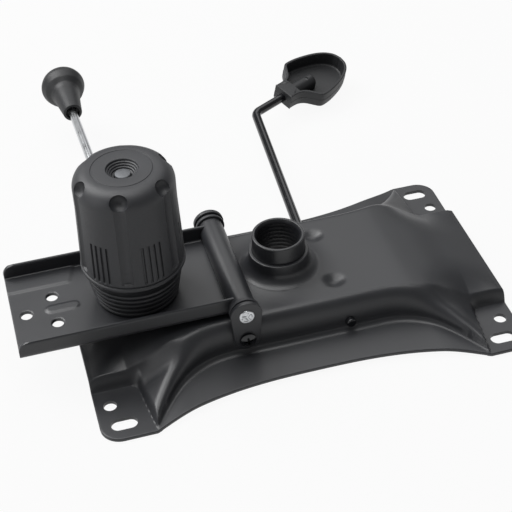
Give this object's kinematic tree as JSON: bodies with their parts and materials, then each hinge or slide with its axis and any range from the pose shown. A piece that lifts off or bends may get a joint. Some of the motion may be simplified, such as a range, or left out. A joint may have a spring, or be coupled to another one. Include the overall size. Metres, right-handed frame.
{
  "type": "chair push back mechanism",
  "caption": "Tilt mechanism of an office chair: pressed seat plate, hinged back channel, tension knob, tilt lock rod and gas lift lever.",
  "frame": {"origin": "on the axis of the gas lift socket, in the plane of the four seat pads' lower faces", "axes": "+X towards the front of the chair, +Y towards the side with the two levers, +Z away from the seat, along the socket towards the gas lift"},
  "size_m": [0.3232, 0.3553, 0.136],
  "materials": {
    "black_paint": "satin powder coat on pressed steel",
    "socket_steel": "satin powder coat over turned steel tube",
    "black_zinc": "black passivated zinc plating",
    "zinc_steel": "bright zinc plating on drawn steel",
    "spring_steel": "oil-hardened spring wire",
    "black_plastic": "fine spark-textured moulding"
  },
  "bodies": {
    "base": {"seat_plate": "black_paint", "gas_socket": "socket_steel", "inner_brace": "black_paint", "lug_near": "black_paint", "lug_far": "black_paint", "lug_screw_near": "black_zinc", "lug_screw_far": "black_zinc", "lug_nuts": "zinc_steel", "hinge_axle": "zinc_steel", "bolt_saddle": "black_paint", "lock_tab": "black_paint", "rest_pad": "black_plastic", "gas_bush": "black_plastic"},
    "back": {"back_channel": "black_paint", "hinge_tube": "black_paint", "hinge_bush_near": "black_plastic", "hinge_bush_far": "black_plastic", "spring_cup": "black_plastic", "lock_guide": "black_plastic", "tension_spring": "spring_steel"},
    "draw": {"tension_bolt": "zinc_steel", "rocker_washer": "zinc_steel"},
    "advance": {"thrust_washer": "zinc_steel"},
    "knob": {"knob_cap": "black_plastic", "knob_nut": "zinc_steel"},
    "lock": {"lock_rod": "zinc_steel", "lock_clip": "zinc_steel", "lock_knob": "black_plastic"},
    "gas": {"gas_rod": "black_paint", "button_crank": "zinc_steel", "gas_paddle": "black_plastic", "paddle_screw": "zinc_steel"}
  },
  "joints": [
    {"name": "back_tilt", "type": "hinge", "parent": "base", "child": "back", "pos_m": [-0.036, 0, 0.041], "axis": [0, 1, 0], "range_deg": [0, 12], "stiffness_Nm_per_rad": 60, "springref_deg": -20.05},
    {"name": "bolt_draw", "type": "slide", "parent": "back", "child": "draw", "axis": [0, 0, 1], "range_m": [-0.0145, 0], "deforming": ["tension_spring"]},
    {"name": "knob_advance", "type": "slide", "parent": "draw", "child": "advance", "axis": [0, 0, -1], "range_m": [0, 0.0054]},
    {"name": "knob_turn", "type": "hinge", "parent": "advance", "child": "knob", "pos_m": [-0.0965, 0, 0.118], "axis": [0, 0, -1], "range_deg": [0, 1260]},
    {"name": "lock_slide", "type": "slide", "parent": "back", "child": "lock", "axis": [0.0349, -0.9994, 0], "range_m": [0, 0.0052]},
    {"name": "gas_lever", "type": "hinge", "parent": "base", "child": "gas", "pos_m": [0.0325, 0, 0.015], "axis": [-0.0375, 0.9993, 0], "range_deg": [0, 3.1], "stiffness_Nm_per_rad": 3, "springref_deg": -6.88}
  ],
  "couplings": [
    {"joint": "bolt_draw", "follows": "back_tilt", "m_per_rad": -0.066},
    {"joint": "knob_advance", "follows": "knob_turn", "m_per_rad": 0.00023873}
  ]
}
